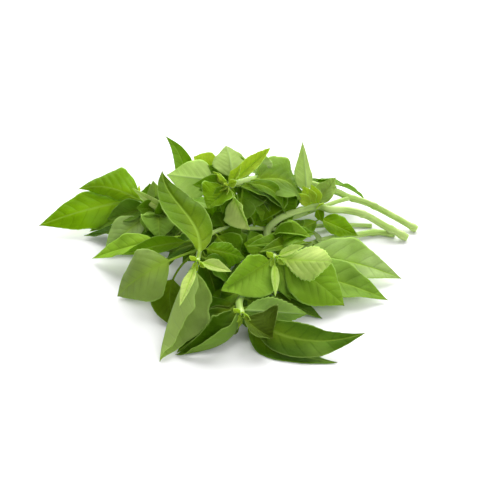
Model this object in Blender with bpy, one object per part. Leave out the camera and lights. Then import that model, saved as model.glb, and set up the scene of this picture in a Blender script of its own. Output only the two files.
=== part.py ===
"""A bunch of fresh basil lying on its side: four cut stems and the leaves that grow on them.

The stems lie towards +X with their cut ends on the surface, and the leafy shoots spread out
towards -X and -Y. Z is up and the surface is z = 0. Lengths below are in millimetres and are
turned into metres when a mesh is made.
"""

import math

import bmesh
import bpy
import numpy as np

MM = 0.001

# Leaves
LEAF_THICKNESS = 0.8        # blade, thick enough to be a sound solid
PETIOLE_HALF_WIDTH = 0.8
PETIOLE_GAP = 0.9           # from the stem's skin to the start of the leaf stalk
ROWS = 10                   # divisions from stalk to tip
COLUMNS = 4                 # divisions from edge to edge
OUTLINE_PEAK = 0.75         # lower is broader near the stalk
OUTLINE_POINT = 1.1         # higher is more pointed

# Stems
STEM_SIDES = 8
STEM_STEP = 6.0             # distance between rings
BUD_LENGTH = 3.0            # the growing tip narrows over this length
BUD_TAPER = 0.55

LEAF_GREEN = (0.16, 0.33, 0.03, 1.0)
YOUNG_GREEN = (0.42, 0.62, 0.14, 1.0)
STEM_GREEN = (0.48, 0.62, 0.16, 1.0)

UP = (0, 0, 1)

# The layout below is measured from a point under the leaves. The part's own origin is under the
# middle of the whole bunch, this far from it.
ORIGIN = np.array((0.0, -6.3, 0.0))


# Each stem: the points its middle line runs through, from the cut end to the growing tip, and its
# radius at both ends. "left" and "twig" are branches, joined to the stem that they start inside.
STEMS = {
    "back": dict(
        points=((131, 37, 2.2), (115, 45, 8), (98, 52, 14), (83, 53, 19), (74, 54, 23), (48, 50, 34),
                (22, 34, 46), (-1, 13, 53)),
        radii=(2.4, 1.5),
    ),
    "left": dict(
        points=((85, 53, 18), (76, 46, 20), (66, 41, 19), (42, 31, 15), (18, 23, 12), (-8, 21, 12),
                (-32, 23, 18), (-50, 33, 22), (-64, 47, 22)),
        radii=(1.6, 1.2),
    ),
    "middle": dict(
        points=((123, 26.5, 2.2), (108, 30, 9.5), (94, 31, 18), (81, 31, 22), (69, 29, 24), (61, 33, 24),
                (45, 26, 24), (33, 18, 23), (26, 8, 20), (28, -14, 20), (30, -35, 28)),
        radii=(2.5, 1.5),
    ),
    "twig": dict(
        points=((63, 32, 24), (64, 32, 19), (63, 33, 13)),
        radii=(1.5, 1.2),
    ),
    "front": dict(
        points=((115, 31.5, 2.05), (101, 33, 2.5), (88, 29, 3), (62, 20, 4), (38, 0, 5), (18, -30, 8),
                (8, -58, 13), (9, -79, 18)),
        radii=(2.2, 1.4),
    ),
    "slender": dict(
        points=((100, 43, 1.4), (83, 43, 2), (60, 37, 5), (40, 24, 11), (20, 13, 19), (0, 5, 25),
                (-12, -12, 31), (-17, -35, 37), (-18, -59, 43)),
        radii=(1.5, 1.1),
    ),
}

# The pieces that the stems make: node name, stem and the branch that grows from it.
STEM_PIECES = (
    ("stem_back", "back", "left"),
    ("stem_middle", "middle", "twig"),
    ("stem_front", "front", None),
    ("stem_slender", "slender", None),
)


def leaf(name, stem, at, tip, width, face=UP, **shape):
    """One leaf: the stem it grows on, how far along (from the growing tip if negative), its tip,
    its width and the direction that its upper side faces."""
    values = dict(fold=(10, 10), curl=(0, 0), halves=(1, 1), arch=0.0, bend=0.0, skew=0.0, twist=0.0,
                  wave=0.03, petiole=0.12, peak=OUTLINE_PEAK)
    values.update(shape)
    values.update(name=name, stem=stem, at=at, tip=tip, width=width, face=face)
    return values


# fold: how far the left and right half of the blade rise from the midrib, in degrees, seen from the
# stalk with the upper side up; curl: more of it towards the edge; halves: how much of its width each
# half keeps; arch: how far the midrib bows up, and bend: to the right, as a share of its length;
# skew: where the bow is deepest; twist: how far the tip is turned round the midrib from the stalk, in
# degrees; petiole: the share of the length that is stalk.
LEAVES = (
    # The shoot that reaches furthest left.
    leaf("leaf_left_1", "left", -2, (-132, 33, 8), 31, (0, -5, 9), fold=(-22, 0), curl=(-30, -20),
         halves=(0.95, 1), arch=0.07),
    leaf("leaf_left_2", "left", -8, (-106, 55, 24), 40, (0, -4, 9), fold=(-45, 5), curl=(-25, -35),
         halves=(0.4, 1), arch=0.21, peak=0.7, petiole=0.05),
    leaf("leaf_left_3", "left", -15, (-84, 31, 15), 19, (1, -6, 7), fold=(28, 24), curl=(20, 20),
         arch=0.05),
    leaf("leaf_left_4", "left", -23, (-83, 12, 1), 26, (0, 6, -7), curl=(-20, -20), twist=15, petiole=0.27,
         peak=0.95),
    leaf("leaf_left_5", "left", -19, (-101, 30, 2), 16, (0, 2, 10), fold=(10, 10), arch=-0.08,
         petiole=0.45),
    leaf("leaf_left_6", "left", -34, (-48, 18, 4), 40, (0, -9, 5), fold=(30, 12), curl=(50, 20), arch=0.2,
         petiole=0.08),
    leaf("leaf_left_7", "left", -38, (-67, 41, 34), 7, (0, -8, 4), fold=(15, 15), arch=0.04, petiole=0.05),
    leaf("leaf_left_8", "left", -40, (-44, 62, 63), 14, (3, -8, 2), fold=(10, 10), bend=0.15, skew=0.3,
         peak=0.95, petiole=0.15),
    leaf("leaf_left_9", "left", 100, (-38, 84, 3), 26, (0, 2, 10), arch=0.05),
    # The shoot in the middle of the front, on the slender stem.
    leaf("leaf_centre_1", "slender", -3, (-43, 14, 64), 29, (1, -7.5, 6.5), fold=(12, 8), curl=(30, -35),
         halves=(1, 0.85), bend=0.05, skew=-2.5, twist=25, petiole=0.06),
    leaf("leaf_centre_2", "slender", -6, (-40, -103, 0.6), 42, (10, -2, 1), fold=(40, 55), curl=(45, 60),
         halves=(1.15, 0.6), arch=-0.05, bend=-0.01, petiole=0.08),
    leaf("leaf_centre_3", "slender", -1, (-28, -88, 31), 8, (-3, -5, 8), fold=(25, 25)),
    leaf("leaf_centre_4", "slender", -1, (3, -62, 38), 9, (0, -4, 9), fold=(25, 25)),
    leaf("leaf_centre_5", "slender", -22, (-71, -41, 3), 37, (-3, -7, 7), fold=(5, 10), curl=(-35, -50),
         arch=0.20, petiole=0.28),
    leaf("leaf_centre_6", "slender", -24, (11, -34, 28), 34, (0, -5, 8), fold=(0, -25), curl=(0, -35),
         halves=(0.4, 1), arch=0.08),
    leaf("leaf_centre_7", "slender", -52, (-92, 1, 3), 20, (0, -2, 10), fold=(25, 25), curl=(-20, -20),
         arch=0.05, petiole=0.45),
    leaf("leaf_centre_8", "slender", -38, (-69, -19, 20), 12, (0, -6, 8), fold=(20, 20), arch=0.10,
         petiole=0.20),
    leaf("leaf_centre_9", "slender", -54, (-71, -40, 2), 15, UP, fold=(15, 15), petiole=0.40),
    leaf("leaf_centre_10", "slender", -26, (-29, -73, 0.5), 24, (0, -2, 10), fold=(12, 12), arch=-0.10,
         bend=0.26, petiole=0.42),
    leaf("leaf_centre_11", "slender", -60, (9, -4, 15), 22, (0, -6, 8), fold=(15, 15)),
    leaf("leaf_centre_12", "slender", -62, (-27, -5, 5), 26, (0, -3, 10)),
    leaf("leaf_centre_13", "slender", 70, (20, -8, 8), 18, (0, -5, 8), petiole=0.20),
    # The shoot that reaches furthest forward.
    leaf("leaf_front_1", "front", -13, (-31, -97, 1), 28, (0, -1, 10), fold=(80, 45), curl=(15, 20),
         halves=(0.85, 1.25), bend=-0.30, skew=-0.3, arch=0.02, peak=0.65, petiole=0.05),
    leaf("leaf_front_2", "front", -4, (84, -92, 14), 27, (0, -5, 9), fold=(12, 5), curl=(20, -20),
         halves=(0.7, 0.9), arch=-0.02, bend=0.14, twist=15, petiole=0.1),
    leaf("leaf_front_3", "front", -2.5, (67, -104, 1), 25, (0, -2, 10), fold=(-5, -10), curl=(-10, -35),
         halves=(0.6, 0.9), bend=0.09, arch=-0.10, petiole=0.08),
    leaf("leaf_front_4", "front", -6, (50, -73, 13.5), 18, (0, 7, -5), fold=(20, 20), petiole=0.05),
    leaf("leaf_front_5", "front", -46, (60, -61, 0.5), 15, UP, fold=(15, 15), petiole=0.30),
    leaf("leaf_front_6", "front", -22, (-28, -76, 2), 26, (0, -3, 10)),
    leaf("leaf_front_9", "front", -0.5, (28, -92, 10), 42, (1, -6, 8), fold=(0, 35), curl=(15, 40),
         halves=(0.95, 0.5), arch=0.07, bend=0.08, peak=1.4, petiole=0.04),
    leaf("leaf_front_7", "front", 108, (103, -44, 2), 33, (0, -2, 10), arch=0.08, petiole=0.15),
    leaf("leaf_front_8", "front", 86, (114, -22, 3), 34, (0, -3, 10), arch=0.10),
    # The shoot on the right, at the end of the middle stem.
    leaf("leaf_right_1", "middle", -3, (-4, -58, 20), 40, (1, -5, 8), fold=(10, 58), halves=(1, 0.6),
         petiole=0.06),
    leaf("leaf_right_2", "middle", -1, (30, -65, 21), 6, (4, -6, 7), fold=(20, 20)),
    leaf("leaf_right_3", "middle", -15, (48, -57, 9), 23, (0, -5, 8)),
    leaf("leaf_right_4", "middle", -5, (74, -55, 6), 36, (0, -4, 9), curl=(-30, -30), arch=0.11, peak=0.9),
    leaf("leaf_right_5", "middle", -1, (66, -49, 36), 25, (0, -5, 8), fold=(-20, -8), peak=1.1,
         petiole=0.1),
    leaf("leaf_right_6", "middle", -4, (49, -34, 38), 8, (0, -3, 9), fold=(20, 20)),
    leaf("leaf_right_7", "middle", -10, (49, -21, 21), 10, (0, -5, 9), fold=(25, 25), arch=0.04),
    leaf("leaf_right_8", "middle", -26, (57, -6, 28), 22, (0, -2, 10), fold=(20, 20), arch=0.14,
         petiole=0.04),
    # The shoot on top, at the end of the back stem.
    leaf("leaf_top_1", "back", -2, (28, 37, 68), 13, (3, -5, 8), fold=(45, 45)),
    leaf("leaf_top_2", "back", -1, (14, -13, 35), 25, (-7, -5, 4), fold=(20, 25), halves=(0.3, 1),
         petiole=0.26),
    leaf("leaf_top_3", "back", -3, (-14, 1, 43), 29, (-2, -6, 8), fold=(40, 10), petiole=0.09),
    leaf("leaf_top_4", "back", -9, (-42, 35, 48), 27, (0, 7, -6), petiole=0.30),
    leaf("leaf_top_5", "back", -12, (-24, 44, 57), 17, (0, -8, 5), petiole=0.50),
    leaf("leaf_top_6", "back", -7, (-2, 48, 63), 24, (0, 0, -1), arch=-0.12),
    leaf("leaf_top_7", "back", -18, (50, 40, 21), 38, (3, -1, 10), fold=(15, 0), arch=0.26, peak=0.65),
    leaf("leaf_top_8", "back", -4, (39, 20, 26), 16, (2, 0, 10), arch=0.15),
    leaf("leaf_top_9", "back", -10, (29, 18, 34), 8, (0, -3, 10), fold=(20, 20), arch=0.06),
    leaf("leaf_top_10", "back", -30, (33, 23, 28), 17, (0, 6, -7), fold=(5, 5), petiole=0.25),
    leaf("leaf_top_11", "back", -15, (7, 3, 29), 20, (0, -5, 8), petiole=0.35),
    leaf("leaf_top_12", "back", 94, (76, 80, 4), 26, (0, 3, 10), arch=0.10),
    leaf("leaf_top_13", "back", 122, (12, 92, 3), 28, (0, 3, 10), arch=0.03),
    # The leaves at the first node of the middle stem.
    leaf("leaf_node_1", "middle", 76, (50, 56, 62), 15, (-3, 8, 3), fold=(25, 25), petiole=0.26, peak=0.5),
    leaf("leaf_node_2", "middle", 70, (73, 45, 40), 15, (-2, -6, 7), fold=(30, 20), petiole=0.05),
    leaf("leaf_node_3", "twig", -1, (89, 25, 5), 18, (0, -3, 9), petiole=0.02, peak=0.7),
    leaf("leaf_node_4", "twig", -1, (38, 10, 14), 14, (0, -3, 10)),
)
YOUNG_LEAVES = ("leaf_centre_3", "leaf_centre_4", "leaf_right_2", "leaf_right_5", "leaf_right_6",
                "leaf_top_1")


def unit(vector):
    return vector / np.linalg.norm(vector)


def smooth_path(points, step):
    """Points about a step apart on the smooth curve through the given points."""
    p = np.array(points, float)
    p = np.vstack([2 * p[0] - p[1], p, 2 * p[-1] - p[-2]])
    path = []
    for a, b, c, d in zip(p, p[1:], p[2:], p[3:]):
        pieces = max(2, round(float(np.linalg.norm(c - b)) / step))
        for k in range(pieces):
            t = k / pieces
            path.append(0.5 * (2 * b + (c - a) * t + (2 * a - 5 * b + 4 * c - d) * t ** 2
                               + (3 * b - a - 3 * c + d) * t ** 3))
    path.append(p[-2])
    return np.array(path)


def lengths_along(path):
    return np.concatenate([[0.0], np.cumsum(np.linalg.norm(np.diff(path, axis=0), axis=1))])


def place_on_stem(stem, at):
    """The middle of a stem, its direction and its radius at a distance along it."""
    path = smooth_path(STEMS[stem]["points"], 4.0)
    along = lengths_along(path)
    if at < 0:
        at += along[-1]

    def middle(distance):
        return np.array([np.interp(distance, along, path[:, axis]) for axis in range(3)])

    start, end = STEMS[stem]["radii"]
    direction = unit(middle(min(at + 1, along[-1])) - middle(at - 1))
    return middle(at), direction, start + (end - start) * at / along[-1]


def outline(share, peak):
    """Half-width of a blade, 0 to 1, at a share of its length: egg-shaped, with a drawn-out tip."""
    return np.sin(math.pi * np.clip(share, 0, 1) ** peak) ** OUTLINE_POINT


def leaf_sheet(spec):
    """The middle surface of a leaf as a grid of points: rows from stalk to tip, columns across."""
    stem_middle, stem_direction, stem_radius = place_on_stem(spec["stem"], spec["at"])
    tip = np.array(spec["tip"], float)
    outward = unit(tip - stem_middle)
    outward = unit(outward - outward.dot(stem_direction) * stem_direction)
    base = stem_middle + outward * (stem_radius + PETIOLE_GAP)

    chord = tip - base
    length = np.linalg.norm(chord)
    face = np.array(spec["face"], float)
    normal = unit(face - face.dot(chord) / length ** 2 * chord)
    side = np.cross(chord / length, normal)

    u = np.linspace(0, 1, ROWS + 1)
    lean = 1 + spec["skew"] * (2 * u - 1)
    bow = 4 * u * (1 - u) * lean
    slope = 4 * (1 - 2 * u) * lean + 8 * u * (1 - u) * spec["skew"]
    bow_direction = length * (spec["arch"] * normal + spec["bend"] * side)
    midrib = base + np.outer(u, chord) + np.outer(bow, bow_direction)
    along = chord + np.outer(slope, bow_direction)
    along /= np.linalg.norm(along, axis=1)[:, None]
    upward = normal - (along @ normal)[:, None] * along
    upward /= np.linalg.norm(upward, axis=1)[:, None]
    across = np.cross(along, upward)
    turn = (np.radians(spec["twist"]) * (u - 0.5))[:, None]
    across, upward = (np.cos(turn) * across + np.sin(turn) * upward,
                      np.cos(turn) * upward - np.sin(turn) * across)

    share = (u - spec["petiole"]) / (1 - spec["petiole"])
    blade = outline(share, spec["peak"])
    stalk = PETIOLE_HALF_WIDTH * np.clip(1.3 - u, 0.45, 1)
    half_width = np.maximum(spec["width"] / 2 * blade, stalk)

    sheet = np.zeros((ROWS + 1, COLUMNS + 1, 3))
    for column, v in enumerate(np.linspace(-1, 1, COLUMNS + 1)):
        hand = 1 if v > 0 else 0
        reach = abs(v) * np.maximum(half_width * spec["halves"][hand], 0.6 * PETIOLE_HALF_WIDTH)
        opened = np.clip(3 * blade, 0, 1)
        half_curl = np.radians(spec["curl"][hand]) * abs(v) / 2 * opened
        angle = np.radians(spec["fold"][hand]) * opened + half_curl
        reach *= np.sinc(half_curl / math.pi)
        ripple = np.sin(5 * math.pi * share + 1.3 * hand)
        rise = reach * np.sin(angle) + spec["wave"] * spec["width"] * v * v * blade * ripple
        sheet[:, column] = (midrib + (np.sign(v) * reach * np.cos(angle))[:, None] * across
                            + rise[:, None] * upward)
    # What would sink into the surface lies flat on it instead.
    sheet[..., 2] = np.maximum(sheet[..., 2], LEAF_THICKNESS / 2)
    return sheet


def make_material(name, colour, roughness):
    material = bpy.data.materials.new(name)
    material.use_nodes = True
    shader = material.node_tree.nodes["Principled BSDF"]
    shader.inputs["Base Color"].default_value = colour
    shader.inputs["Roughness"].default_value = roughness
    shader.inputs["Metallic"].default_value = 0.0
    return material


def make_object(name, mesh, material):
    piece = bpy.data.objects.new(name, mesh)
    bpy.context.scene.collection.objects.link(piece)
    mesh.materials.append(material)
    mesh.shade_smooth()
    return piece


def make_leaf(spec):
    """A leaf: its sheet of faces, given its thickness evenly on both sides."""
    sheet = (leaf_sheet(spec) - ORIGIN) * MM
    bm = bmesh.new()
    corners = [[bm.verts.new(point) for point in row] for row in sheet]
    for near, far in zip(corners, corners[1:]):
        for column in range(COLUMNS):
            bm.faces.new((near[column], near[column + 1], far[column + 1], far[column]))
    mesh = bpy.data.meshes.new(spec["name"])
    bm.to_mesh(mesh)
    bm.free()
    colour = YOUNG_GREEN if spec["name"] in YOUNG_LEAVES else LEAF_GREEN
    piece = make_object(spec["name"], mesh, make_material(spec["name"], colour, 0.5))
    solidify = piece.modifiers.new("thickness", "SOLIDIFY")
    solidify.thickness = LEAF_THICKNESS * MM
    solidify.offset = 0.0
    return piece


def stem_mesh(stem):
    """A tapering tube with a flat cut end and a narrowing growing tip."""
    path = smooth_path(STEMS[stem]["points"], STEM_STEP)
    along = lengths_along(path)
    start, end = STEMS[stem]["radii"]
    bm = bmesh.new()
    rings = []
    for k, (middle, distance) in enumerate(zip(path, along)):
        direction = unit(path[min(k + 1, len(path) - 1)] - path[max(k - 1, 0)])
        side = unit(np.cross(direction, UP if abs(direction[2]) < 0.9 else (0, 1, 0)))
        radius = start + (end - start) * distance / along[-1]
        if along[-1] - distance < BUD_LENGTH:
            radius *= BUD_TAPER
        ring = []
        for k_side in range(STEM_SIDES):
            turn = 2 * math.pi * (k_side + 0.5) / STEM_SIDES
            spoke = math.cos(turn) * side + math.sin(turn) * np.cross(side, direction)
            ring.append(bm.verts.new((middle + radius * spoke - ORIGIN) * MM))
        rings.append(ring)
    for near, far in zip(rings, rings[1:]):
        for k_side in range(STEM_SIDES):
            after = (k_side + 1) % STEM_SIDES
            bm.faces.new((near[k_side], far[k_side], far[after], near[after]))
    bm.faces.new(rings[0])
    bm.faces.new(reversed(rings[-1]))
    bmesh.ops.recalc_face_normals(bm, faces=bm.faces)
    mesh = bpy.data.meshes.new("stem_" + stem)
    bm.to_mesh(mesh)
    bm.free()
    return mesh


def make_stem(name, stem, branch):
    """A stem, with the branch that grows from it joined in."""
    material = make_material(name, STEM_GREEN, 0.45)
    piece = make_object(name, stem_mesh(stem), material)
    if branch:
        side_shoot = make_object("branch_" + branch, stem_mesh(branch), material)
        side_shoot.display_type = "WIRE"
        side_shoot.hide_render = True
        union = piece.modifiers.new("branch", "BOOLEAN")
        union.operation = "UNION"
        union.solver = "EXACT"
        union.object = side_shoot
    return piece


def main():
    for old in list(bpy.data.objects):
        bpy.data.objects.remove(old)
    for name, stem, branch in STEM_PIECES:
        make_stem(name, stem, branch)
    for spec in LEAVES:
        make_leaf(spec)


main()
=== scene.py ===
"""A bunch of fresh basil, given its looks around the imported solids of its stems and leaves.

Every leaf is a grid that is laid on the leaf's own curves, given its thickness and its veins. The
stems are grids rolled into tubes. Lengths are in millimetres until a mesh is written.
"""

import math
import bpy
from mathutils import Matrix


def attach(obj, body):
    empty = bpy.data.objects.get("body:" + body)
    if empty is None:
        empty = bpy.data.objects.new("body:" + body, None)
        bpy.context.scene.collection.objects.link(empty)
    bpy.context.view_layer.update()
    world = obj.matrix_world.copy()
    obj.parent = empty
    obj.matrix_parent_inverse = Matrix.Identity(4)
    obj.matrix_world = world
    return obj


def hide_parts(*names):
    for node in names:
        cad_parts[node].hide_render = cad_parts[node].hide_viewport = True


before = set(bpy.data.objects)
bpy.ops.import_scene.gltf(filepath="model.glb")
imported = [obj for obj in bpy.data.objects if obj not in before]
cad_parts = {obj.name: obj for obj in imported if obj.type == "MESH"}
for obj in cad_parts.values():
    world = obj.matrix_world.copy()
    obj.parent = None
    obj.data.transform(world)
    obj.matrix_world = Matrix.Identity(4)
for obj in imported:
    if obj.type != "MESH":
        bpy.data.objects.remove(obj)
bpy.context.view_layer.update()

from types import SimpleNamespace

import bpy
import numpy as np
from bpy.props import EnumProperty, FloatProperty, FloatVectorProperty, IntProperty, PointerProperty
from mathutils import Vector

bl_info = {
    "name": "Basil bunch",
    "version": (1, 0, 0),
    "blender": (4, 5, 0),
    "location": "View3D > Sidebar > Basil",
    "description": "Models the stems, leaves and young tips of a bunch of basil, and the stage it lies on",
    "category": "Add Mesh",
}

MM = 0.001
UP = (0, 0, 1)
ORIGIN = np.array((0.0, -6.3, 0.0))

# The blade and its stalk.
OUTLINE_PEAK = 0.75         # lower puts the widest place of a leaf nearer its base
OUTLINE_POINT = 1.1         # higher draws both ends of a leaf out
LARGE_WIDTH = 30            # of the leaf that veins, teeth and puffs are sized for
PETIOLE_HALF_WIDTH = 0.8
STALK_START = 0.6           # how far out in the stem a stalk starts, as a share of its radius
SURFACE_GAP = 0.4
RIPPLE = 0.016              # of a blade's edge, as a share of its width
TEETH_END = 0.97            # the share of the blade past which its edge has no teeth
RIB_RADIUS = 0.85           # of the midrib at the base of a large leaf
RIB_TAPER = 0.62            # how much of that it loses on its way to the tip
FURROW = 0.35               # how far the upper side sinks along the midrib

# The stems.
SWELL_REACH = 2.0           # how far along the stem a node's swelling falls off
END_TAPER, END_LENGTH = 0.75, 3.0   # the share of its radius that a growing end loses, and over what length
STEM_GAP = 0.05             # between a stem and the surface, at the least

# The side veins, in the mesh and in the finish.
VEIN_LEAN = 0.62            # how far they run towards the tip on their way to the edge
VEIN_BEND = 1.5             # how much more they do so near the edge
VEIN_STAGGER = 0.3          # between the left side's and the right side's, in vein spacings

# Noise and cell sizes of the finishes, in repeats a metre or, for the cells, a leaf.
PATCH_SCALE, WIDE_PATCH_SCALE, MOTTLE_SCALE, STEM_PATCH_SCALE, CELL_SCALE = 45.0, 22.0, 420.0, 60.0, 38.0
UNDER_ROUGHNESS = 0.62
FLOOR_Z = -0.0002           # in metres: just under the bunch, so that the two never share a plane

STEMS = {
    "back": dict(
        points=((131, 37, 2.2), (115, 45, 8), (98, 52, 14), (83, 53, 19), (74, 54, 23), (48, 50, 34),
                (22, 34, 46), (-1, 13, 53)),
        radii=(2.4, 1.5),
    ),
    "left": dict(
        points=((85, 53, 18), (76, 46, 20), (66, 41, 19), (42, 31, 15), (18, 23, 12), (-8, 21, 12),
                (-32, 23, 18), (-50, 33, 22), (-64, 47, 22)),
        radii=(1.6, 1.2),
    ),
    "middle": dict(
        points=((123, 26.5, 2.2), (108, 30, 9.5), (94, 31, 18), (81, 31, 22), (69, 29, 24), (61, 33, 24),
                (45, 26, 24), (33, 18, 23), (26, 8, 20), (28, -14, 20), (30, -35, 28)),
        radii=(2.5, 1.5),
    ),
    "twig": dict(
        points=((63, 32, 24), (64, 32, 19), (63, 33, 13)),
        radii=(1.5, 1.2),
    ),
    "front": dict(
        points=((115, 31.5, 2.05), (101, 33, 2.5), (88, 29, 3), (62, 20, 4), (38, 0, 5), (18, -30, 8),
                (8, -58, 13), (9, -79, 18)),
        radii=(2.2, 1.4),
    ),
    "slender": dict(
        points=((100, 43, 1.4), (83, 43, 2), (60, 37, 5), (40, 24, 11), (20, 13, 19), (0, 5, 25),
                (-12, -12, 31), (-17, -35, 37), (-18, -59, 43)),
        radii=(1.5, 1.1),
    ),
}


def leaf(name, stem, at, tip, width, face=UP, **shape):
    """One leaf: the stem it grows on, how far along (from the growing tip if negative), its tip,
    its width and the direction that its upper side faces.

    Fold and curl turn its halves up, in degrees, and are one value for both or one for the left and
    one for the right. Halves scales the left and the right width. Arch and bend bow the midrib up
    and sideways, as shares of its length, and skew shifts the bow towards the tip. Twist is in
    degrees. Wave is a share of the width, and petiole is the stalk's share of the length."""
    values = dict(fold=10, curl=0, halves=(1, 1), arch=0.0, bend=0.0, skew=0.0, twist=0.0, wave=0.03,
                  petiole=0.12, peak=OUTLINE_PEAK)
    values.update(shape)
    for key in ("fold", "curl"):
        if not isinstance(values[key], tuple):
            values[key] = (values[key], values[key])
    values.update(name=name, stem=stem, at=at, tip=tip, width=width, face=face)
    return values


def cupped(*place, **shape):
    return leaf(*place, fold=15, **shape)


def arched(*place, **shape):
    return leaf(*place, arch=0.1, **shape)


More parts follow.
